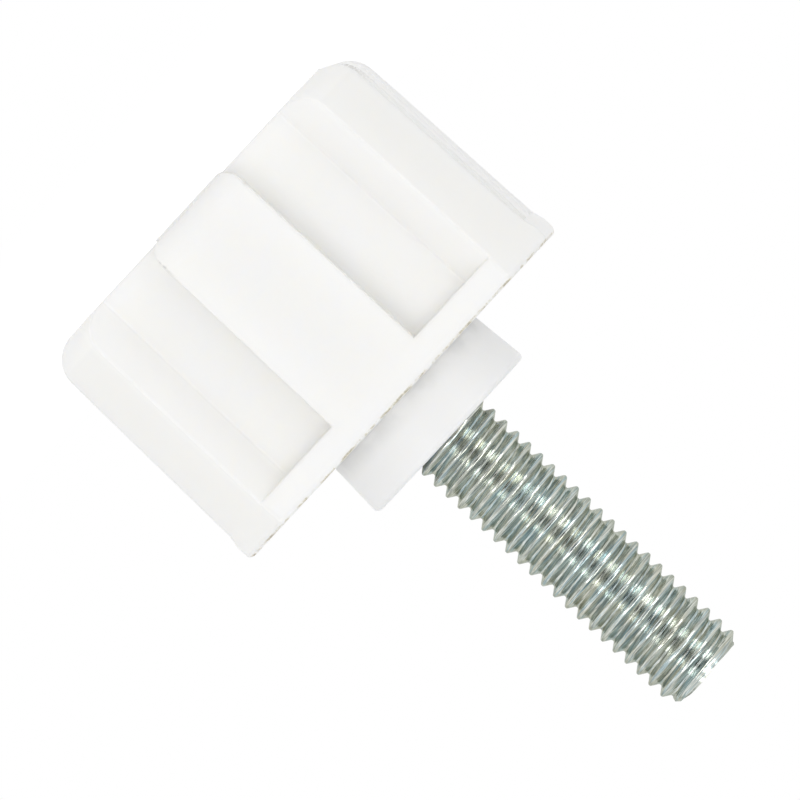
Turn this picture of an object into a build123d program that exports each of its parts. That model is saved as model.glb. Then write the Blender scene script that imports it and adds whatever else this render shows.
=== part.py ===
from build123d import *

import os
from math import cos, radians, sqrt, tan

# Levelling foot: a white moulded block that stands on the floor, with a collar on its
# upper side and a zinc-plated steel stud moulded into it.
# Millimetres. +Z runs up the stud, and the origin is the middle of the ground face.

# Block, from the ground face to the stud side of its flange
block_height = 17.4
flange_across_flats = 26.6
flange_corner_leg = 3.1
flange_thickness = 1.9
flange_ramp_height = 0.8
flange_edge_radius = 0.4
side_setback = 0.19
side_corner_leg = 2.88
side_draft = 1.15
ground_edge_radius = 2.05

# Sides: a middle rib between two shallow pockets that are open at the ground end
pocket_depth = 2.15
pocket_wall_angle = 45.0
lobe_land = 0.08
rib_width = 7.3
rib_draft = 0.5
rib_offset = 0.18
rib_end_radius = 1.2

# Pads: the foot stands on low pads that run in from the ribs' ends and cross in the middle
pad_height = 0.13
pad_width = 5.5
pad_end_inset = 1.7
pad_root = 0.5

# Collar, a little wider at its free end
collar_height = 3.8
collar_root_diameter = 12.7
collar_end_diameter = 13.2
collar_edge_radius = 0.35

# Stud: an M6 screw whose hexagon head is held inside the block
thread_diameter = 6.0
thread_projection = 21.6
tip_chamfer = 0.6
shank_diameter = 5.35
head_embedment = 4.6
head_across_flats = 10.0
head_height = 4.0

# How far a cutting shape reaches past the surface that it cuts
overcut = 1.0

# Heights and half widths that follow from the sizes above
flange_underside = block_height - flange_thickness
collar_end = block_height + collar_height
stud_tip = collar_end + thread_projection
head_seat = block_height - head_embedment
side_half_width = flange_across_flats / 2 - side_setback
side_slope = tan(radians(side_draft))
rib_slope = tan(radians(rib_draft))
wall_run = tan(radians(pocket_wall_angle))
corner_gain = 2 - sqrt(2)


def side_inset(height):
    """How far a side stands in at this height, from its place under the flange."""
    return (flange_underside - height) * side_slope


def half_width(height):
    """Distance from the stud's axis to a side's outer face at this height."""
    return side_half_width - side_inset(height)


def ridge_position(height):
    """Distance along a side from its middle to where the pocket's sloping wall starts."""
    corner_leg = side_corner_leg - corner_gain * side_inset(height)
    return half_width(height) - corner_leg - lobe_land


def rib_half_width(height):
    """Half the rib's width at this height."""
    return rib_width / 2 - (flange_underside - height) * rib_slope


# How far a pad runs out from the middle
pad_reach = half_width(0) - pad_end_inset


def channel_points(height):
    """Corners of the shallow channel along the side that faces -Y, cut at this height."""
    outside = -half_width(height) - overcut
    floor = -half_width(height) + pocket_depth
    mouth = ridge_position(height) + overcut * wall_run
    foot = ridge_position(height) - pocket_depth * wall_run
    return [(-mouth, outside), (mouth, outside), (foot, floor), (-foot, floor)]


# Stud: hexagon head, plain shank inside the plastic, and the threaded length as its envelope
with BuildPart() as threaded_stud:
    with BuildSketch(Plane.XY.offset(head_seat - head_height)):
        RegularPolygon(radius=head_across_flats / 2, side_count=6, major_radius=False)
    extrude(amount=head_height)
    with BuildSketch(Plane.XY.offset(head_seat)):
        Circle(shank_diameter / 2)
    extrude(amount=collar_end - head_seat)
    with BuildSketch(Plane.XY.offset(collar_end)):
        Circle(thread_diameter / 2)
    extrude(amount=thread_projection)
    tip_edge = threaded_stud.faces().sort_by(Axis.Z)[-1].edges()
    chamfer(tip_edge, length=tip_chamfer)

# Shape taken out of one side: a channel with sloping walls, less the rib that stands in it
channel_bottom = -overcut
rib_plane = Plane(
    origin=(rib_offset, -half_width(0) + pocket_depth, 0),
    x_dir=(1, 0, 0),
    z_dir=(0, -1, -side_slope),
)
rib_top = flange_underside / cos(radians(side_draft)) + overcut
with BuildPart() as side_channel:
    with BuildSketch(Plane.XY.offset(flange_underside)):
        Polygon(*channel_points(flange_underside), align=None)
    with BuildSketch(Plane.XY.offset(channel_bottom)):
        Polygon(*channel_points(channel_bottom), align=None)
    loft()
    with BuildSketch(rib_plane.offset(-overcut)) as rib_outline:
        Polygon(
            (-rib_half_width(0), 0),
            (rib_half_width(0), 0),
            (rib_half_width(rib_top), rib_top),
            (-rib_half_width(rib_top), rib_top),
            align=None,
        )
        rib_end_corners = rib_outline.vertices().group_by(Axis.Y)[0]
        fillet(rib_end_corners, radius=rib_end_radius)
    extrude(amount=pocket_depth + 2 * overcut, mode=Mode.SUBTRACT)

# Foot: block, flange and collar moulded in one piece round the stud
with BuildPart() as moulded_foot:
    # Tapered block below the flange, widest at the flange
    with BuildSketch(Plane((0, 0, flange_underside), x_dir=(1, 0, 0), z_dir=(0, 0, -1))) as side_section:
        Rectangle(2 * side_half_width, 2 * side_half_width)
        chamfer(side_section.vertices(), length=side_corner_leg)
    extrude(amount=flange_underside - pad_height, taper=side_draft)
    ground_edges = moulded_foot.faces().sort_by(Axis.Z)[0].edges()
    fillet(ground_edges, radius=ground_edge_radius)
    # The same channel on each of the four sides
    with PolarLocations(0, 4):
        add(side_channel.part, mode=Mode.SUBTRACT)
    # Pads, with their upper part inside the block
    with BuildSketch():
        with PolarLocations(0, 4):
            with Locations((pad_reach / 2, rib_offset)):
                Rectangle(pad_reach, pad_width)
    extrude(amount=pad_height + pad_root)
    # Flange: a short ramp out from the sides, then its full width
    ramp_top = flange_underside + flange_ramp_height
    with BuildSketch(Plane.XY.offset(flange_underside)) as ramp_foot_section:
        Rectangle(2 * side_half_width, 2 * side_half_width)
        chamfer(ramp_foot_section.vertices(), length=side_corner_leg)
    with BuildSketch(Plane.XY.offset(ramp_top)) as ramp_top_section:
        Rectangle(flange_across_flats, flange_across_flats)
        chamfer(ramp_top_section.vertices(), length=flange_corner_leg)
    loft()
    with BuildSketch(Plane.XY.offset(ramp_top)) as flange_section:
        Rectangle(flange_across_flats, flange_across_flats)
        chamfer(flange_section.vertices(), length=flange_corner_leg)
    extrude(amount=block_height - ramp_top)
    flange_edges = moulded_foot.faces().sort_by(Axis.Z)[-1].edges()
    fillet(flange_edges, radius=flange_edge_radius)
    # Collar round the stud
    with BuildSketch(Plane.XZ):
        Polygon(
            (0, block_height),
            (collar_root_diameter / 2, block_height),
            (collar_end_diameter / 2, collar_end),
            (0, collar_end),
            align=None,
        )
    revolve(axis=Axis.Z)
    collar_edge = moulded_foot.faces().sort_by(Axis.Z)[-1].edges()
    fillet(collar_edge, radius=collar_edge_radius)
    # The plastic closes on the stud all round
    add(threaded_stud.part, mode=Mode.SUBTRACT)

os.makedirs("parts", exist_ok=True)
threaded_stud.part.label = "threaded_stud"
export_step(threaded_stud.part, "parts/threaded_stud.step")
moulded_foot.part.label = "moulded_foot"
export_step(moulded_foot.part, "parts/moulded_foot.step")
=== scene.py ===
import logging
from collections.abc import Callable, Mapping, Sequence
from dataclasses import dataclass
from enum import Enum
from math import cos, radians, sin, sqrt, tau
from typing import Any, Union

import bmesh
import bpy
from mathutils import Matrix, Vector, noise


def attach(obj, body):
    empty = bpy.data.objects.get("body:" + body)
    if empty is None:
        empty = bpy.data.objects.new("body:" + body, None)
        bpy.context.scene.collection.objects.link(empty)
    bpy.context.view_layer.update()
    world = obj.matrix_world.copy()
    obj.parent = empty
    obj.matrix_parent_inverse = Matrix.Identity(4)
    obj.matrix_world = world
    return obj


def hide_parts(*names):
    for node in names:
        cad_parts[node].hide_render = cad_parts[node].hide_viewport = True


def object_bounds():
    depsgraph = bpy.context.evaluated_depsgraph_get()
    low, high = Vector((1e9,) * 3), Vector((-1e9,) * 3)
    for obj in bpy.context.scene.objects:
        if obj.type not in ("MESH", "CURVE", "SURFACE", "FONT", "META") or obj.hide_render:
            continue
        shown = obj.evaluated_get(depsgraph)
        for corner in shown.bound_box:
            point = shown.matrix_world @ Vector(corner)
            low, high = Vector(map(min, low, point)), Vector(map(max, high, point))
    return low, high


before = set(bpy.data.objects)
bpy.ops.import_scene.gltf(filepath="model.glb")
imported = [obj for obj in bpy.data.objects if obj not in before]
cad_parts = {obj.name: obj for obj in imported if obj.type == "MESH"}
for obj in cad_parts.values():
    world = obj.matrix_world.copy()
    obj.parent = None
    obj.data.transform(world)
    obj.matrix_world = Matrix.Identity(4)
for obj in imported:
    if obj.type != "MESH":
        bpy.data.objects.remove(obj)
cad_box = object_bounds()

# White moulded levelling foot with a zinc-plated M6 stud, dressed for a studio picture.
# Shapes are in metres, with sizes written in millimetres times MM. Materials read millimetres.
# +Z runs up the stud, the ground face is at Z = 0 and the camera looks at the side facing -Y.

MM = 0.001
BODY = "root"

log = logging.getLogger("levelling_foot")

Colour = tuple[float, float, float]

# Where a smooth step leaves 0, and where it reaches 1, which may be lower
Step = tuple[float, float]

WHITE: Colour = (1.0, 1.0, 1.0)

# How much a cut corner's leg shrinks for each step that the sides and the corner draw in
CORNER_GAIN = 2 - sqrt(2)


class Seen(Enum):
    """The kinds of ray that see the plain white surround."""

    BY_CAMERA = "Is Camera Ray"
    IN_GLOSS = "Is Glossy Ray"
    THROUGH_GLASS = "Is Transmission Ray"


class Field:
    """A value over a surface. Its arithmetic adds Math nodes to the material."""

    def __init__(self, bench: "Bench", socket: bpy.types.NodeSocket) -> None:
        """Keeps the socket, and the bench that adds its nodes."""
        self.bench = bench
        self.socket = socket

    def maths(self, operation: str, *others: Any, clamp: bool = False) -> "Field":
        """Adds one Math node with this value first.

        Args:
            operation: the Math node's operation.
            others: the other values, numbers or fields.
            clamp: whether the result is held between 0 and 1.

        Returns:
            The result.
        """
        values = dict(enumerate((self, *others)))
        settings = {"operation": operation, "use_clamp": clamp}
        return self.bench.field("ShaderNodeMath", settings, values, 0)

    def __add__(self, other: Any) -> "Field":
        """This value plus another."""
        return self.maths("ADD", other)

    __radd__ = __add__

    def __mul__(self, other: Any) -> "Field":
        """This value times another."""
        return self.maths("MULTIPLY", other)

    __rmul__ = __mul__

    def __sub__(self, other: Any) -> "Field":
        """This value less another."""
        return self.maths("SUBTRACT", other)

    def __rsub__(self, other: Any) -> "Field":
        """Another value less this one."""
        return self * -1.0 + other

    def __abs__(self) -> "Field":
        """This value without its sign."""
        return self.maths("ABSOLUTE")

    def held(self) -> "Field":
        """This value held between 0 and 1."""
        return self.maths("ADD", 0.0, clamp=True)

    def rise(self, low: float, high: float, base: float = 0.0) -> "Field":
        """A smooth step.

        Args:
            low: the value at which it leaves 0.
            high: the value at which it reaches 1, which may be lower than low.
            base: the value from which both are counted.

        Returns:
            The step, from 0 to 1.
        """
        settings = {"interpolation_type": "SMOOTHSTEP", "clamp": True}
        values = {"Value": self, "From Min": base + low, "From Max": base + high}
        return self.bench.field("ShaderNodeMapRange", settings, values, "Result")

    def hump(self, low: float, middle: float, high: float, base: float = 0.0) -> "Field":
        """A smooth hump that is 1 at middle and 0 at low and high, all counted from base."""
        return self.rise(low, middle, base) * self.rise(high, middle, base)


@dataclass(frozen=True)
class Place:
    """Where a point of a surface lies, in millimetres from the middle of the ground face.

    Attributes:
        x: its place across the camera's view.
        y: its place away from the camera.
        z: its height.
    """

    x: Field
    y: Field
    z: Field

    def farther(self) -> Field:
        """The larger of its two distances from the middle planes."""
        return abs(self.x).maths("MAXIMUM", abs(self.y))

    def nearer(self) -> Field:
        """The smaller of its two distances from the middle planes."""
        return abs(self.x).maths("MINIMUM", abs(self.y))

    def diagonal(self) -> Field:
        """Its distance from the axis, measured square to the nearest cut corner."""
        return (abs(self.x) + abs(self.y)) * sqrt(0.5)


class Bench:
    """One node tree, of a material or the world, and the ways to fill it."""

    def __init__(self, owner: Union[bpy.types.Material, bpy.types.World]) -> None:
        """Starts an empty tree for its owner."""
        owner.use_nodes = True
        self.tree = owner.node_tree
        self.tree.nodes.clear()

    def add(self, kind: str, settings: Mapping[str, Any], values: Mapping[Any, Any]) -> bpy.types.Node:
        """Adds any node.

        Args:
            kind: the node's type.
            settings: its own settings, set first.
            values: what each input socket holds or is linked to.

        Returns:
            The node.
        """
        node = self.tree.nodes.new(kind)
        for name, setting in settings.items():
            setattr(node, name, setting)
        for key, value in values.items():
            self._fill(node.inputs[key], value)
        return node

    def _fill(self, socket: bpy.types.NodeSocket, value: Any) -> None:
        """Gives one input socket its value or its link.

        Args:
            socket: the input socket.
            value: a field or an output socket to link, or a constant.
        """
        if isinstance(value, Field):
            self.tree.links.new(value.socket, socket)
        elif isinstance(value, bpy.types.NodeSocket):
            self.tree.links.new(value, socket)
        elif socket.type == "RGBA":
            socket.default_value = (*value, 1.0)
        else:
            socket.default_value = value

    def field(self, kind: str, settings: Mapping[str, Any], values: Mapping[Any, Any],
              output: Any) -> Field:
        """Adds any node and gives one of its outputs as a value."""
        return Field(self, self.add(kind, settings, values).outputs[output])

    def shader(self, kind: str, values: Mapping[Any, Any]) -> bpy.types.NodeSocket:
        """Adds a shader node and gives its output."""
        return self.add(kind, {}, values).outputs[0]

    def place(self) -> Place:
        """The place on the surface, in millimetres."""
        where = self.add("ShaderNodeTexCoord", {}, {}).outputs["Object"]
        apart = self.add("ShaderNodeSeparateXYZ", {}, {"Vector": where})
        return Place(*(Field(self, output) * (1.0 / MM) for output in apart.outputs))

    def join(self, x: Any, y: Any, z: Any) -> bpy.types.NodeSocket:
        """Three values as one vector."""
        return self.add("ShaderNodeCombineXYZ", {}, {"X": x, "Y": y, "Z": z}).outputs["Vector"]

    def noise(self, where: Any, scale: float, detail: float, rough: float) -> Field:
        """Noise from 0 to 1.

        Args:
            where: the vector that it follows, in millimetres.
            scale: its cells for each millimetre.
            detail: how many finer layers it has.
            rough: how strong the finer layers are.

        Returns:
            The noise, which lies around 0.5.
        """
        values = {"Vector": where, "Scale": scale, "Detail": detail, "Roughness": rough}
        return self.field("ShaderNodeTexNoise", {"noise_dimensions": "3D"}, values, "Fac")

    def tint(self, amount: Any, under: Any, over: Any) -> bpy.types.NodeSocket:
        """Lays one colour over another.

        Args:
            amount: how much of the upper colour goes on.
            under: the lower colour.
            over: the upper colour.

        Returns:
            The colour's socket.
        """
        mix = self.add("ShaderNodeMix", {"data_type": "RGBA"}, {"Factor": amount})
        for name, colour in (("A", under), ("B", over)):
            self._fill(next(s for s in mix.inputs if s.name == name and s.type == "RGBA"), colour)
        return next(s for s in mix.outputs if s.type == "RGBA")

    def relief(self, height: Field, depth: float, normal: Any = (0.0, 0.0, 0.0)) -> bpy.types.NodeSocket:
        """Turns a height from 0 to 1 into a surface normal.

        Args:
            height: the height over the surface.
            depth: the real height of 1, in metres.
            normal: the normal that it starts from. Without a link it is the surface's own.

        Returns:
            The normal's socket.
        """
        values = {"Strength": 1.0, "Distance": depth, "Height": height, "Normal": normal}
        return self.add("ShaderNodeBump", {}, values).outputs["Normal"]

    def soft_edges(self, radius: float, samples: int) -> bpy.types.NodeSocket:
        """The surface's normal with its edges rounded off in the shading.

        Args:
            radius: the radius over which they are rounded, in metres.
            samples: how many rays it takes.

        Returns:
            The normal's socket.
        """
        return self.add("ShaderNodeBevel", {"samples": samples}, {"Radius": radius}).outputs["Normal"]

    def seen_white(self) -> Field:
        """Tells apart the rays that see the surround as plain white.

        Returns:
            1 for those rays, otherwise 0.
        """
        path = self.add("ShaderNodeLightPath", {}, {})
        total = Field(self, path.outputs[Seen.BY_CAMERA.value])
        for kind in (Seen.IN_GLOSS, Seen.THROUGH_GLASS):
            total = total + Field(self, path.outputs[kind.value])
        return total.held()

    def finish(self, shader: bpy.types.NodeSocket, kind: str = "ShaderNodeOutputMaterial") -> None:
        """Links a shader to the tree's output."""
        self.add(kind, {}, {"Surface": shader})


@dataclass(frozen=True)
class Grain:
    """Noise that is the same in all directions.

    Attributes:
        scale: its cells for each millimetre.
        detail: how many finer layers it has.
        rough: how strong the finer layers are.
    """

    scale: float
    detail: float = 2.0
    rough: float = 0.5

    def draw(self, bench: Bench, at: Place) -> Field:
        """Adds the noise, which lies around 0.5."""
        return bench.noise(bench.join(at.x, at.y, at.z), self.scale, self.detail, self.rough)


@dataclass(frozen=True)
class WhitePlastic:
    """Satin white moulded plastic, slightly warm, with faint clouds and a thin dirty flash line. Its
    colour also holds painted shade on the cut corners and the collar, painted light on the pockets'
    sloping walls and a painted shadow at the collar's root.

    Its places on the foot are in millimetres, as the material reads them.

    Attributes:
        white: the clean colour.
        cool: the colour of the cooler clouds.
        wall_light: painted light, a lighter colour on the pockets' sloping walls that stands for the light
            bouncing inside the pockets.
        facet: painted shade, a greyer colour on the cut corners, which face away from the front light.
        collar: painted shade, a cooler colour on the collar that stands for the cooler light in the
            flange's shade.
        shade: the grey of the painted shadow at the collar's root.
        amber: the dirt that the flash line holds.
        soot: its darkest spots.
        roughness: how matt it is where the grain is lowest.
        rougher: how much the grain adds to that.
        grain_depth: the real depth of the fine grain.
        glow_depth: how far light spreads under the surface.
        glow_colours: how far each colour spreads, as shares of that.
        glow_share: the share of the light that does.
        refraction: the plastic's index of refraction.
        soft_edge: the radius over which its edges look soft.
        soft_samples: how many rays find those edges.
        clouds: the clouds' noise.
        cloud_step: the part of it that shows.
        cloud_share: how much of the cool colour they lay on.
        grain: the fine grain.
        spots: the noise that breaks the flash line up.
        flange_half: the flange's half width.
        flange_corner: from the axis to the flange's cut corners.
        flange_top: the height of the flange's stud side.
        flange_underside: the height at which the sides meet the flange.
        facet_distance: from the axis to the plane of a cut corner just under the flange.
        facet_step: where the painted shade of the cut corners starts, counted from their plane.
        side_slope: how fast the sides draw in towards the ground.
        wall_line: where the sloping walls lie, as the difference between the two distances across.
        wall_step: how that painted light fades out to both sides of that line.
        wall_top: how it fades out above the flange's underside.
        rib_middle: the middle of a rib, along its side.
        rib_half: half the rib's width near the ground.
        rib_edge: how the dark lines fade out to both sides of a rib's edge.
        rib_face: where the lines start on the way out to a rib's face, measured at the ground.
        rib_heights: the heights at which the lines start, are strongest and end.
        rib_broken: the part of the grain that breaks the lines up.
        rib_darkness: how dark the lines are.
        flash_out: where the flash line starts, counted outwards from the flange's edge.
        flash_up: where it starts, counted upwards from the flange's top.
        amber_step: the part of the spots that is amber.
        soot_step: the part of the spots that is soot.
        flash_soot: how dark that soot is.
        collar_step: where the collar's painted shade starts, counted from the flange's top.
        root_shadow: where the painted shadow of the flange on the collar starts, is darkest and ends,
            counted from the flange's top.
        shadow_least: how much of that painted shadow there is between the clouds.
        shadow_clouds: how much the clouds add to it.
    """

    white: Colour = (0.945, 0.938, 0.906)
    cool: Colour = (0.934, 0.933, 0.922)
    wall_light: Colour = (0.985, 0.980, 0.955)
    facet: Colour = (0.915, 0.912, 0.893)
    collar: Colour = (0.925, 0.925, 0.922)
    shade: Colour = (0.74, 0.74, 0.73)
    amber: Colour = (0.62, 0.56, 0.44)
    soot: Colour = (0.26, 0.24, 0.20)
    roughness: float = 0.41
    rougher: float = 0.10
    grain_depth: float = 0.006 * MM
    glow_depth: float = 2.0 * MM
    glow_colours: Colour = (1.0, 0.95, 0.85)
    glow_share: float = 0.75
    refraction: float = 1.49
    soft_edge: float = 0.22 * MM
    soft_samples: int = 8
    clouds: Grain = Grain(0.35, 3.0)
    cloud_step: Step = (0.40, 0.62)
    cloud_share: float = 0.8
    grain: Grain = Grain(7.0, 3.0, 0.6)
    spots: Grain = Grain(1.1, 4.0, 0.7)
    flange_half: float = 13.3
    flange_corner: float = 16.62
    flange_top: float = 17.4
    flange_underside: float = 15.5
    facet_distance: float = 16.50
    facet_step: Step = (-0.12, -0.03)
    side_slope: float = 0.0201
    wall_line: float = 2.78
    wall_step: Step = (0.20, 0.08)
    wall_top: Step = (0.2, 0.0)
    rib_middle: float = 0.18
    rib_half: float = 3.53
    rib_edge: Step = (0.16, 0.05)
    rib_face: Step = (12.2, 12.5)
    rib_heights: tuple[float, float, float] = (0.3, 1.1, 3.2)
    rib_broken: Step = (0.38, 0.52)
    rib_darkness: float = 0.35
    flash_out: Step = (-0.40, -0.24)
    flash_up: Step = (-0.20, -0.06)
    amber_step: Step = (0.42, 0.60)
    soot_step: Step = (0.54, 0.64)
    flash_soot: float = 0.5
    collar_step: Step = (-0.05, 0.05)
    root_shadow: tuple[float, float, float] = (0.0, 0.06, 1.6)
    shadow_least: float = 0.35
    shadow_clouds: float = 0.5

    def _walls(self, at: Place) -> Field:
        """Finds the pockets' sloping walls.

        Args:
            at: the place on the foot.

        Returns:
            1 on the walls, otherwise 0.
        """
        line = at.z * (self.side_slope * CORNER_GAIN) + self.wall_line
        off = abs(abs(abs(at.x) - abs(at.y)) - line)
        return off.rise(*self.wall_step) * at.z.rise(*self.wall_top, base=self.flange_underside)

    def _facets(self, at: Place) -> Field:
        """Finds the four cut corners.

        Args:
            at: the place on the foot.

        Returns:
            1 on the cut corners, otherwise 0.
        """
        plane = self.facet_distance - self.flange_underside * self.side_slope
        out = at.diagonal() - at.z * self.side_slope
        return out.rise(*self.facet_step, base=plane)

    def _flash(self, at: Place) -> Field:
        """Finds the flash line along the flange's stud-side edge.

        Args:
            at: the place on the foot.

        Returns:
            1 on the line, otherwise 0.
        """
        corner = at.diagonal() - (self.flange_corner - self.flange_half)
        out = at.farther().maths("MAXIMUM", corner)
        near = out.rise(*self.flash_out, base=self.flange_half)
        return near * at.z.rise(*self.flash_up, base=self.flange_top)

    def _rib_edges(self, at: Place, fine: Field) -> Field:
        """Finds the dark line along each edge of a rib, strongest at its ground end.

        Args:
            at: the place on the foot.
            fine: the fine grain, which breaks the line up.

        Returns:
            How dark the line is, from 0 to 1.
        """
        edge = abs(abs(at.nearer() - self.rib_middle) - self.rib_half)
        face = (at.farther() - at.z * self.side_slope).rise(*self.rib_face)
        low = at.z.hump(*self.rib_heights) * fine.rise(*self.rib_broken)
        return edge.rise(*self.rib_edge) * face * low

    def _colour(self, bench: Bench, at: Place, fine: Field) -> bpy.types.NodeSocket:
        """Lays the colours over each other, from the clean plastic through the painted light and shade to
        the dirt.

        Args:
            bench: the material's bench.
            at: the place on the foot.
            fine: the fine grain.

        Returns:
            The colour's socket.
        """
        clouds = self.clouds.draw(bench, at).rise(*self.cloud_step)
        spots = self.spots.draw(bench, at)
        colour = bench.tint(clouds * self.cloud_share, self.white, self.cool)
        # Painted shade: the cut corners, which face away from the front light, get a greyer colour.
        colour = bench.tint(self._facets(at), colour, self.facet)
        # Painted light: the pockets' sloping walls get a lighter colour for the light bouncing inside the
        # pockets.
        colour = bench.tint(self._walls(at), colour, self.wall_light)
        # Painted shade: the collar gets a cooler colour for the cooler light in the flange's shade.
        colour = bench.tint(at.z.rise(*self.collar_step, base=self.flange_top), colour, self.collar)
        # Painted shadow: a grey band at the collar's root, broken up by the clouds, for the flange's
        # shadow on the collar.
        root_shadow = at.z.hump(*self.root_shadow, base=self.flange_top) * (clouds * self.shadow_clouds + self.shadow_least)
        colour = bench.tint(root_shadow, colour, self.shade)
        flash = self._flash(at)
        colour = bench.tint(flash * spots.rise(*self.amber_step), colour, self.amber)
        soot = flash * spots.rise(*self.soot_step) * self.flash_soot
        # Dark lines along the ribs' edges near the ground, broken up by the grain.
        worn = self._rib_edges(at, fine) * self.rib_darkness
        return bench.tint((soot + worn).held(), colour, self.soot)

    def make(self) -> bpy.types.Material:
        """Builds the material.

        Returns:
            The material.
        """
        material = bpy.data.materials.new("white_plastic")
        bench = Bench(material)
        at = bench.place()
        fine = self.grain.draw(bench, at)
        soft = bench.soft_edges(self.soft_edge, self.soft_samples)
        values = {
            "Base Color": self._colour(bench, at, fine),
            "Roughness": fine * self.rougher + self.roughness,
            "IOR": self.refraction,
            "Subsurface Weight": self.glow_share,
            "Subsurface Radius": self.glow_colours,
            "Subsurface Scale": self.glow_depth,
            "Normal": bench.relief(fine, self.grain_depth, soft),
        }
        bench.finish(bench.shader("ShaderNodeBsdfPrincipled", values))
        return material


@dataclass(frozen=True)
class Streaks:
    """Noise drawn out along the thread, as rolling leaves it.

    Attributes:
        fineness: its cells across one pitch, roughly.
        length: its cells for each millimetre along the thread.
        detail: how many finer layers it has.
        rough: how strong the finer layers are.
    """

    fineness: float
    length: float
    detail: float = 2.0
    rough: float = 0.5

    def draw(self, bench: Bench, at: Place, pitch: float) -> Field:
        """Adds the noise on a vector that changes fast across the thread and slowly along it.

        Args:
            bench: the material's bench.
            at: the place on the stud.
            pitch: the thread's pitch in millimetres.

        Returns:
            The noise, which lies around 0.5.
        """
        phase = at.z * (tau / pitch) - at.y.maths("ARCTAN2", at.x)
        reach = self.fineness / tau
        where = bench.join(
            at.x * self.length + phase.maths("COSINE") * reach,
            at.y * self.length + phase.maths("SINE") * reach,
            at.z * (2.0 * self.length + 1.0),
        )
        return bench.noise(where, 1.0, self.detail, self.rough)


@dataclass(frozen=True)
class ZincPlate:
    """Bright zinc plating on a rolled thread, drawn into fine streaks along the thread.

    Attributes:
        pitch: the thread's pitch in millimetres, which the streaks follow.
        bright: the colour of the finest bright streaks.
        silver: the plating's main colour.
        dull: the browner, greener plating in patches.
        teal: the bluer plating in patches.
        dark: the colour of the dark hairlines.
        edge: the tint of its reflections where it turns away.
        roughness: how blurred its reflections are where the streaks are lowest.
        rougher: how much the streaks add to that.
        streak_depth: the real depth of the streaks.
        band_depth: how deep the bands are, as a share of that.
        wide: the wider streaks.
        hair: the hairlines.
        hair_share: how much of the streaks the hairlines give, and the wider ones the rest.
        bands: the slow bands of colour.
        patches: the patches' noise.
        dull_bands: the part of the bands that is dull.
        dull_patches: the part of the patches that is dull.
        patch_share: how much of the dull colour the patches give, and the bands the rest.
        teal_bands: the part of the bands that is bluer.
        teal_share: how much of the bluer colour they lay on.
        bright_streaks: the part of the streaks that is bright.
        dark_streaks: the part of the streaks that is dark.
        streak_share: how much of their colours they lay on.
    """

    pitch: float
    bright: Colour = (0.93, 0.94, 0.92)
    silver: Colour = (0.54, 0.585, 0.555)
    dull: Colour = (0.52, 0.525, 0.44)
    teal: Colour = (0.36, 0.49, 0.53)
    dark: Colour = (0.16, 0.18, 0.20)
    edge: Colour = (0.60, 0.62, 0.56)
    roughness: float = 0.09
    rougher: float = 0.16
    streak_depth: float = 0.040 * MM
    band_depth: float = 0.5
    wide: Streaks = Streaks(8.0, 0.7, 2.0, 0.6)
    hair: Streaks = Streaks(15.0, 1.2, 1.0)
    hair_share: float = 0.5
    bands: Streaks = Streaks(6.0, 0.3)
    patches: Grain = Grain(0.7)
    dull_bands: Step = (0.42, 0.62)
    dull_patches: Step = (0.45, 0.65)
    patch_share: float = 0.4
    teal_bands: Step = (0.50, 0.38)
    teal_share: float = 0.7
    bright_streaks: Step = (0.52, 0.59)
    dark_streaks: Step = (0.48, 0.41)
    streak_share: float = 0.45

    def make(self) -> bpy.types.Material:
        """Builds the material.

        Returns:
            The material.
        """
        material = bpy.data.materials.new("zinc_plated_steel")
        bench = Bench(material)
        at = bench.place()
        kinds = (self.wide, self.hair, self.bands)
        wide, hair, bands = (kind.draw(bench, at, self.pitch) for kind in kinds)
        streaks = wide * (1.0 - self.hair_share) + hair * self.hair_share
        patches = self.patches.draw(bench, at)
        dull = bands.rise(*self.dull_bands) * (1.0 - self.patch_share)
        dull = dull + patches.rise(*self.dull_patches) * self.patch_share
        colour = bench.tint(dull.held(), self.silver, self.dull)
        colour = bench.tint(bands.rise(*self.teal_bands) * self.teal_share, colour, self.teal)
        colour = bench.tint(streaks.rise(*self.bright_streaks) * self.streak_share, colour, self.bright)
        colour = bench.tint(streaks.rise(*self.dark_streaks) * self.streak_share, colour, self.dark)
        values = {
            "Base Color": colour,
            "Metallic": 1.0,
            "Specular Tint": self.edge,
            "Roughness": streaks * self.rougher + self.roughness,
            "Normal": bench.relief(streaks + bands * self.band_depth, self.streak_depth),
        }
        bench.finish(bench.shader("ShaderNodeBsdfPrincipled", values))
        return material


@dataclass(frozen=True)
class StudioFloor:
    """White floor that looks plain white and still takes the object's shadow.

    Attributes:
        glow: the white that shows even in full shadow.
        lit: how much of the light that falls on it shows.
        bounce: how much light it throws back on the object.
        plain: where it starts to turn plain white, and where it is, in millimetres from the object.
    """

    glow: float = 0.92
    lit: float = 0.20
    bounce: float = 0.85
    plain: Step = (90.0, 220.0)

    def _light(self, bench: Bench, strength: float) -> bpy.types.NodeSocket:
        """White light of one strength."""
        return bench.shader("ShaderNodeEmission", {"Color": WHITE, "Strength": strength})

    def make(self) -> bpy.types.Material:
        """Builds the material.

        Returns:
            The material.
        """
        material = bpy.data.materials.new("studio_floor")
        bench = Bench(material)
        at = bench.place()
        far = (at.x * at.x + at.y * at.y).maths("SQRT").rise(*self.plain)
        lit = bench.shader("ShaderNodeBsdfDiffuse", {"Color": (self.lit,) * 3})
        near = bench.shader("ShaderNodeAddShader", {0: self._light(bench, self.glow), 1: lit})
        shown = bench.shader("ShaderNodeMixShader", {0: far, 1: near, 2: self._light(bench, 1.0)})
        bounced = self._light(bench, self.bounce)
        bench.finish(bench.shader("ShaderNodeMixShader", {0: bench.seen_white(), 1: bounced, 2: shown}))
        return material


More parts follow.
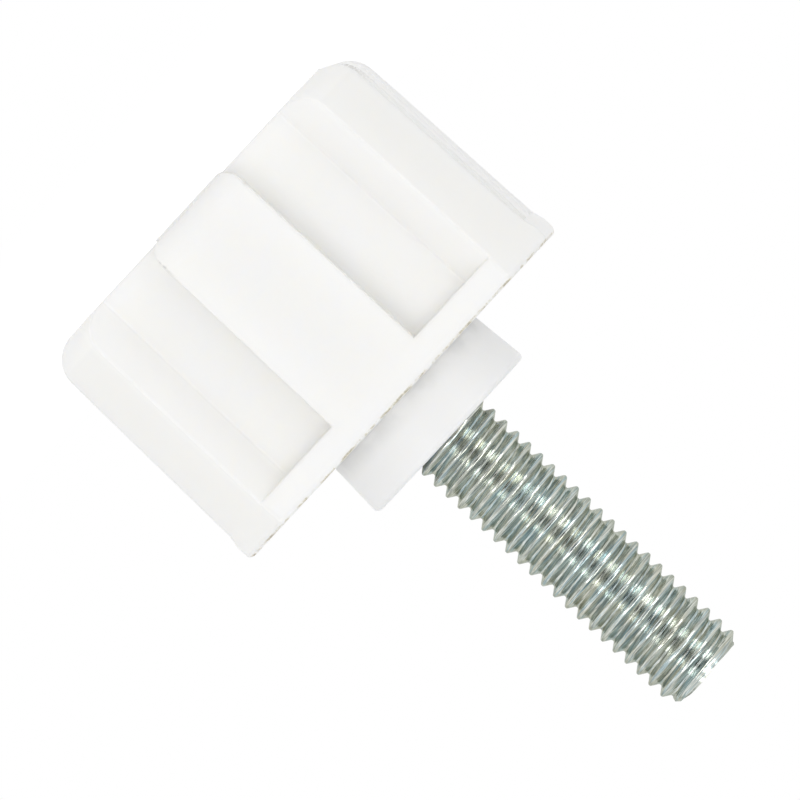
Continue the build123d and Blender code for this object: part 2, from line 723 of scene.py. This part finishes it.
@dataclass(frozen=True)
class DarkCloth:
    """Dark cloth of the card that the steel reflects.

    Attributes:
        colour: its colour.
    """

    colour: Colour = (0.03, 0.035, 0.04)

    def make(self) -> bpy.types.Material:
        """Builds the material.

        Returns:
            The material.
        """
        material = bpy.data.materials.new("dark_cloth")
        bench = Bench(material)
        bench.finish(bench.shader("ShaderNodeBsdfDiffuse", {"Color": self.colour}))
        return material


def held_within(value: float, low: float = 0.0, high: float = 1.0) -> float:
    """A number held between two others."""
    return min(max(value, low), high)


def add_piece(name: str, mesh: bmesh.types.BMesh, material: bpy.types.Material) -> bpy.types.Object:
    """Turns a built mesh into a smooth object with one material.

    Args:
        name: the object's name.
        mesh: the mesh, which is freed.
        material: its material.

    Returns:
        The object.
    """
    data = bpy.data.meshes.new(name)
    mesh.to_mesh(data)
    mesh.free()
    data.materials.append(material)
    data.shade_smooth()
    piece = bpy.data.objects.new(name, data)
    bpy.context.scene.collection.objects.link(piece)
    return piece


@dataclass(frozen=True)
class MouldedFoot:
    """The white block with its ribs, flange and collar, as clean flat and curved faces.

    Attributes:
        same_within: points closer than this are one point of the solid.
        join_within: edges shorter than this are taken out.
        flat_within: faces that differ by less than this angle are joined.
        sharp_over: edges that turn by more than this angle are shaded as edges.
        face_weight: how much large faces lead the shading, where 50 is not at all and 100 is most.
    """

    same_within: float = 0.001 * MM
    join_within: float = 0.02 * MM
    flat_within: float = radians(0.1)
    sharp_over: float = radians(12)
    face_weight: int = 100

    def shape(self) -> bmesh.types.BMesh:
        """Joins the solid's triangles into whole faces.

        Returns:
            The closed mesh.
        """
        mesh = bmesh.new()
        mesh.from_mesh(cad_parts["moulded_foot"].data)
        bmesh.ops.remove_doubles(mesh, verts=mesh.verts, dist=self.same_within)
        bmesh.ops.dissolve_degenerate(mesh, dist=self.join_within, edges=mesh.edges)
        bmesh.ops.dissolve_limit(mesh, angle_limit=self.flat_within, verts=mesh.verts, edges=mesh.edges)
        return mesh

    def build(self, finish: WhitePlastic) -> bpy.types.Object:
        """Makes the piece in place of its node.

        Args:
            finish: the plastic.

        Returns:
            The piece.
        """
        piece = add_piece("moulded_foot_dressed", self.shape(), finish.make())
        piece.data.set_sharp_from_angle(angle=self.sharp_over)
        even = piece.modifiers.new("even_shading", "WEIGHTED_NORMAL")
        even.keep_sharp = True
        even.weight = self.face_weight
        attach(piece, BODY)
        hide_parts("moulded_foot")
        return piece


@dataclass(frozen=True)
class ThreadedStud:
    """The zinc-plated screw: hexagon head and shank inside the plastic, and its M6 thread.

    Attributes:
        crest_radius: the thread's outside radius.
        root_radius: the radius at the bottom of its groove.
        pitch: the thread's pitch.
        crest_share: the share of a pitch that the flat crest takes.
        root_share: the share of a pitch that the groove's bottom takes.
        corner_share: the share of a pitch over which the section's corners are rounded.
        corner_lift: how far a rounded corner draws in, as a share of what the slope would.
        crest_ease: where a crest's rounding starts, in corner shares, and its share of the lift.
        root_ease: where a root's rounding ends, in corner shares, and its share of the lift.
        shank_radius: the plain shank's radius.
        head_across_flats: the hexagon's width.
        head_height: the hexagon's height.
        collar_end: the height at which the thread comes out of the plastic.
        seat_depth: from there down to the head's seat.
        run_in: the length inside the plastic in which the thread rises from the shank.
        sheet_start: the height at which the fine mesh of the thread starts.
        tip_chamfer: the chamfer at the free end.
        tip_wear: how uneven the free end is.
        tip_waves: how many waves go round the free end, roughly.
        tip_seed: the place in the noise that gives them.
        tip_level: how far down the free end lies on average, as a share of its wear.
        chip_waves: how many chips go round the last turns, roughly.
        chip_rows: how many lie on each millimetre of height.
        chip_reach: how far below the free end they start, in millimetres.
        columns: mesh columns round the stud, a multiple of 6 for the hexagon.
        spare_turns: turns of the grid beyond the thread's length, which are cut off.
        same_within: points closer than this become one.
        sharp_over: edges that turn by more than this angle are shaded as edges.
    """

    crest_radius: float = 2.985 * MM
    root_radius: float = 2.49 * MM
    pitch: float = 1.0 * MM
    crest_share: float = 0.18
    root_share: float = 0.16
    corner_share: float = 0.045
    corner_lift: float = 0.28
    crest_ease: tuple[float, float] = (0.6, 0.06)
    root_ease: tuple[float, float] = (0.7, 0.1)
    shank_radius: float = 2.675 * MM
    head_across_flats: float = 10.0 * MM
    head_height: float = 4.0 * MM
    collar_end: float = 21.2 * MM
    seat_depth: float = 8.4 * MM
    run_in: float = 0.1 * MM
    sheet_start: float = 20.6 * MM
    tip_chamfer: float = 0.6 * MM
    tip_wear: float = 0.16 * MM
    tip_waves: float = 1.1
    tip_seed: float = 4.0
    tip_level: float = 0.45
    chip_waves: float = 5.0
    chip_rows: float = 1.6
    chip_reach: float = 1.3
    columns: int = 120
    spare_turns: int = 3
    same_within: float = 0.0005 * MM
    sharp_over: float = radians(50)

    def _profile(self) -> list[tuple[float, float]]:
        """Works out one pitch of the thread's section.

        Returns:
            Its points from one crest to the next, as (share of the pitch, radius).
        """
        crest, root = self.crest_share / 2, self.root_share / 2
        slope = (self.crest_radius - self.root_radius) / (0.5 - crest - root)
        soft = self.corner_share
        lift = self.corner_lift * slope * soft
        crest_in, crest_down = self.crest_ease
        root_in, root_up = self.root_ease
        half = [
            (0.0, self.crest_radius),
            (crest - soft * crest_in, self.crest_radius - crest_down * lift),
            (crest, self.crest_radius - lift),
            (crest + soft, self.crest_radius - slope * soft),
            (0.5 - root - soft, self.root_radius + slope * soft),
            (0.5 - root, self.root_radius + lift),
            (0.5 - root + soft * root_in, self.root_radius + root_up * lift),
            (0.5, self.root_radius),
        ]
        other = [(1.0 - share, radius) for share, radius in reversed(half[1:-1])]
        return half + other

    def _tip(self, angle: float) -> float:
        """Finds the height of the uneven free end in one direction.

        Args:
            angle: the direction round the axis.

        Returns:
            The height.
        """
        place = Vector((cos(angle) * self.tip_waves, sin(angle) * self.tip_waves, self.tip_seed))
        worn = held_within(self.tip_level + noise.noise(place))
        return cad_box[1].z - self.tip_wear * worn

    def _radius(self, height: float, thread: float, angle: float) -> float:
        """Finds the stud's radius, held by its run-in inside the plastic and by its chamfer.

        Args:
            height: the height on the stud.
            thread: the full thread's radius there.
            angle: the direction round the axis.

        Returns:
            The radius.
        """
        tip = self._tip(angle)
        start = self.collar_end - self.run_in
        risen = held_within((height - start) / self.run_in)
        radius = self.shank_radius + (thread - self.shank_radius) * risen
        around = self.chip_waves
        place = Vector((cos(angle) * around, sin(angle) * around, height / MM * self.chip_rows))
        chipped = max(noise.noise(place), 0.0) * held_within((height - tip) / MM + self.chip_reach)
        cone = self.crest_radius - self.tip_chamfer + (tip - height)
        return min(radius, cone) - self.tip_wear * chipped

    def _hexagon(self, angle: float) -> float:
        """Finds the distance from the axis to the hexagon's outline in one direction.

        Args:
            angle: the direction round the axis.

        Returns:
            The distance.
        """
        sector = radians(60)
        within = angle % sector - sector / 2
        return self.head_across_flats / 2 / cos(within)

    def _add_thread(self, mesh: bmesh.types.BMesh, angles: Sequence[float]) -> None:
        """Adds the thread as a helical grid, cut off at its start and at the uneven free end.

        Args:
            mesh: the mesh that gets it.
            angles: the directions of its columns.
        """
        profile = self._profile()
        steps = len(profile)
        turns = int((cad_box[1].z - self.sheet_start) / self.pitch) + self.spare_turns
        rows = turns * steps
        grid: list[list[bmesh.types.BMVert]] = []
        for column, angle in enumerate(angles):
            line = []
            for row in range(rows):
                share, thread = profile[row % steps]
                height = self.sheet_start + self.pitch * (row // steps + share - 1 + column / self.columns)
                height = held_within(height, self.sheet_start, self._tip(angle))
                radius = self._radius(height, thread, angle)
                line.append(mesh.verts.new((radius * cos(angle), radius * sin(angle), height)))
            grid.append(line)
        for column in range(self.columns):
            after = (column + 1) % self.columns
            shift = steps if after == 0 else 0
            for row in range(rows - 1 - shift):
                low, high = row + shift, row + 1 + shift
                sides = (grid[column][row], grid[after][low], grid[after][high], grid[column][row + 1])
                mesh.faces.new(sides)
        bmesh.ops.remove_doubles(mesh, verts=mesh.verts, dist=self.same_within)

    @staticmethod
    def _direction(vert: bmesh.types.BMVert) -> float:
        """The direction of a point round the axis."""
        return Vector((1, 0)).angle_signed(Vector(vert.co[:2])) % tau

    @staticmethod
    def _ring(mesh: bmesh.types.BMesh, height: float, reach: Callable[[float], float],
              angles: Sequence[float]) -> list[bmesh.types.BMVert]:
        """Adds one ring of points.

        Args:
            mesh: the mesh that gets them.
            height: the ring's height.
            reach: the distance from the axis in a given direction.
            angles: the directions.

        Returns:
            The points in order.
        """
        return [mesh.verts.new((reach(a) * cos(a), reach(a) * sin(a), height)) for a in angles]

    def _close(self, mesh: bmesh.types.BMesh, angles: Sequence[float]) -> None:
        """Adds the shank, the head and both end faces to the thread.

        Args:
            mesh: the mesh that holds the thread.
            angles: the directions of its columns.
        """
        open_verts = [v for v in mesh.verts if v.is_boundary]
        open_verts.sort(key=self._direction, reverse=True)
        lower = [v for v in open_verts if v.co.z < self.collar_end]
        upper = [v for v in open_verts if v.co.z > self.collar_end]
        seat = self.collar_end - self.seat_depth
        rings = [
            lower[-1:] + lower[:-1],
            self._ring(mesh, seat, lambda angle: self.shank_radius, angles),
            self._ring(mesh, seat, self._hexagon, angles),
            self._ring(mesh, seat - self.head_height, self._hexagon, angles),
        ]
        for ring, following in zip(rings, rings[1:]):
            for index in range(len(angles)):
                after = (index + 1) % len(angles)
                mesh.faces.new((ring[index], ring[after], following[after], following[index]))
        mesh.faces.new(rings[-1])
        middle = mesh.verts.new((0.0, 0.0, cad_box[1].z - self.tip_wear))
        for index, vert in enumerate(upper):
            mesh.faces.new((vert, upper[(index + 1) % len(upper)], middle))

    def shape(self) -> bmesh.types.BMesh:
        """Builds the screw as one closed surface.

        Returns:
            The closed mesh.
        """
        mesh = bmesh.new()
        angles = [tau * column / self.columns for column in range(self.columns)]
        self._add_thread(mesh, angles)
        self._close(mesh, angles)
        bmesh.ops.recalc_face_normals(mesh, faces=mesh.faces)
        return mesh

    def build(self, finish: ZincPlate) -> bpy.types.Object:
        """Makes the piece in place of its node.

        Args:
            finish: the plating.

        Returns:
            The piece.
        """
        piece = add_piece("threaded_stud_dressed", self.shape(), finish.make())
        piece.data.set_sharp_from_angle(angle=self.sharp_over)
        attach(piece, BODY)
        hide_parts("threaded_stud")
        return piece


@dataclass(frozen=True)
class Softbox:
    """One soft studio lamp, which looks at the middle of the object.

    Attributes:
        name: the lamp's name.
        place: where it stands.
        size: the width and height of its front.
        power: its power in watts.
        colour: the colour of its light.
        in_gloss: whether the steel reflects it.
        on_matt: whether it lights matt surfaces.
    """

    name: str
    place: tuple[float, float, float]
    size: tuple[float, float]
    power: float
    colour: Colour = (1.0, 0.985, 0.955)
    in_gloss: bool = True
    on_matt: bool = True

    def hang(self, target: Vector) -> bpy.types.Object:
        """Adds the lamp to the scene.

        Args:
            target: the point that it looks at.

        Returns:
            The lamp.
        """
        data = bpy.data.lights.new(self.name, "AREA")
        data.shape = "RECTANGLE"
        data.size, data.size_y = self.size
        data.energy = self.power
        data.color = self.colour
        lamp = bpy.data.objects.new(self.name, data)
        lamp.visible_glossy = self.in_gloss
        lamp.visible_diffuse = self.on_matt
        lamp.location = self.place
        lamp.rotation_euler = (Vector(self.place) - target).to_track_quat("Z", "Y").to_euler()
        bpy.context.scene.collection.objects.link(lamp)
        return lamp


@dataclass(frozen=True)
class Card:
    """A dark card in front of the object, which only the steel reflects.

    Attributes:
        name: the card's name.
        place: its middle.
        size: its width and height.
    """

    name: str
    place: tuple[float, float, float]
    size: tuple[float, float]

    def stand(self, target: Vector, cloth: bpy.types.Material) -> bpy.types.Object:
        """Adds the card to the scene.

        Args:
            target: the point that it faces.
            cloth: what it is covered with.

        Returns:
            The card.
        """
        width, height = (side / 2 for side in self.size)
        mesh = bmesh.new()
        corners = [(-width, -height, 0), (width, -height, 0), (width, height, 0), (-width, height, 0)]
        mesh.faces.new([mesh.verts.new(corner) for corner in corners])
        card = add_piece(self.name, mesh, cloth)
        card.location = self.place
        card.rotation_euler = (target - Vector(self.place)).to_track_quat("Z", "Y").to_euler()
        card.visible_camera = False
        card.visible_diffuse = False
        card.visible_transmission = False
        card.visible_shadow = False
        return card


@dataclass(frozen=True)
class PhotoCamera:
    """The camera at the photograph's viewing angle, level with the object and rolled.

    Attributes:
        distance: from the camera to the stud's axis.
        frame_width: the width that the picture covers at the stud's axis.
        turn: how far the camera stands round towards -X.
        slope: how far the stud points below the horizontal in the picture.
        aim_side: the picture's middle, sideways from the stud's axis.
        aim_height: the picture's middle, above the floor.
        sensor: the width of the camera's sensor in millimetres.
        nearest: the distance from which it sees things.
        farthest: the distance up to which it sees things.
    """

    distance: float = 770 * MM
    frame_width: float = 49.2 * MM
    turn: float = radians(3.1)
    slope: float = radians(42.85)
    aim_side: float = 0.545 * MM
    aim_height: float = 17.43 * MM
    sensor: float = 36.0
    nearest: float = 10 * MM
    farthest: float = 10000 * MM

    def place(self) -> bpy.types.Object:
        """Adds the camera and makes it the scene's camera.

        Returns:
            The camera.
        """
        data = bpy.data.cameras.new("camera")
        data.sensor_width = self.sensor
        data.lens = self.sensor * self.distance / self.frame_width
        data.clip_start = self.nearest
        data.clip_end = self.farthest
        onward = Vector((sin(self.turn), cos(self.turn), 0.0))
        across = Vector((cos(self.turn), -sin(self.turn), 0.0))
        upward = Vector((0.0, 0.0, 1.0))
        right = upward * cos(self.slope) - across * sin(self.slope)
        top = -upward * sin(self.slope) - across * cos(self.slope)
        aim = across * self.aim_side + upward * self.aim_height
        camera = bpy.data.objects.new("camera", data)
        axes = Matrix((right, top, -onward)).transposed().to_4x4()
        camera.matrix_world = Matrix.Translation(aim - onward * self.distance) @ axes
        bpy.context.scene.collection.objects.link(camera)
        bpy.context.scene.camera = camera
        return camera


@dataclass(frozen=True)
class Studio:
    """Floor, lamps, card and the white surround.

    Attributes:
        floor_radius: the floor's radius.
        floor_sides: how many straight sides its rim has.
        floor_gap: how far the floor lies under the ground face, so that the two don't coincide.
        surround: how strongly the white surround lights the object.
        sky: the colour of that light.
        lamps: the lamps that light the plastic, and the gleams that only the steel reflects.
        card: the dark card that the steel reflects where the camera stands.
    """

    floor_radius: float = 600 * MM
    floor_sides: int = 96
    floor_gap: float = 0.01 * MM
    surround: float = 0.73
    sky: Colour = (0.985, 0.99, 1.0)
    lamps: tuple[Softbox, ...] = (
        Softbox("right_lamp", (-0.54, -0.52, 0.12), (0.34, 0.30), 0.36, in_gloss=False),
        Softbox("left_lamp", (0.30, -0.70, 0.08), (0.34, 0.30), 1.05, in_gloss=False),
        Softbox("front_lamp", (-0.08, -0.78, 0.30), (0.60, 0.50), 0.35, in_gloss=False),
        Softbox("right_gleam", (-0.51, -0.55, 0.12), (0.34, 0.26), 1.35, on_matt=False),
        Softbox("left_gleam", (0.31, -0.69, 0.08), (0.22, 0.30), 0.95, on_matt=False),
        Softbox("upper_gleam", (-0.10, -0.15, 0.85), (0.40, 0.40), 1.40, on_matt=False),
    )
    card: Card = Card("camera_card", (-0.08, -0.60, 0.03), (0.28, 0.50))

    def _floor(self) -> bpy.types.Object:
        """Adds the floor, a large disc under the object.

        Returns:
            The floor.
        """
        mesh = bmesh.new()
        bmesh.ops.create_circle(mesh, cap_ends=True, segments=self.floor_sides, radius=self.floor_radius)
        floor = add_piece("floor", mesh, StudioFloor().make())
        floor.location.z = -self.floor_gap
        return floor

    def _world(self) -> None:
        """Lights the scene evenly, and looks plain white to camera, gloss and glass."""
        world = bpy.data.worlds.new("surround")
        bpy.context.scene.world = world
        bench = Bench(world)
        white = bench.shader("ShaderNodeBackground", {"Color": WHITE, "Strength": 1.0})
        soft = bench.shader("ShaderNodeBackground", {"Color": self.sky, "Strength": self.surround})
        both = bench.shader("ShaderNodeMixShader", {0: bench.seen_white(), 1: soft, 2: white})
        bench.finish(both, "ShaderNodeOutputWorld")

    def set_up(self, target: Vector) -> None:
        """Builds the whole studio round the object.

        Args:
            target: the point that the lamps and the card face.
        """
        self._world()
        self._floor()
        for lamp in self.lamps:
            lamp.hang(target)
        self.card.stand(target, DarkCloth().make())


def report(piece: bpy.types.Object) -> None:
    """Logs one finished piece."""
    log.info("%s: %d points, %d faces", piece.name, len(piece.data.vertices), len(piece.data.polygons))


def main() -> None:
    """Builds the object and its studio, in order."""
    logging.basicConfig(level=logging.INFO, format="%(name)s: %(message)s")
    bpy.context.scene.view_settings.view_transform = "Standard"
    PhotoCamera().place()
    Studio().set_up((cad_box[0] + cad_box[1]) / 2)
    report(MouldedFoot().build(WhitePlastic()))
    stud = ThreadedStud()
    report(stud.build(ZincPlate(pitch=stud.pitch / MM)))


if __name__ == "__main__":
    main()
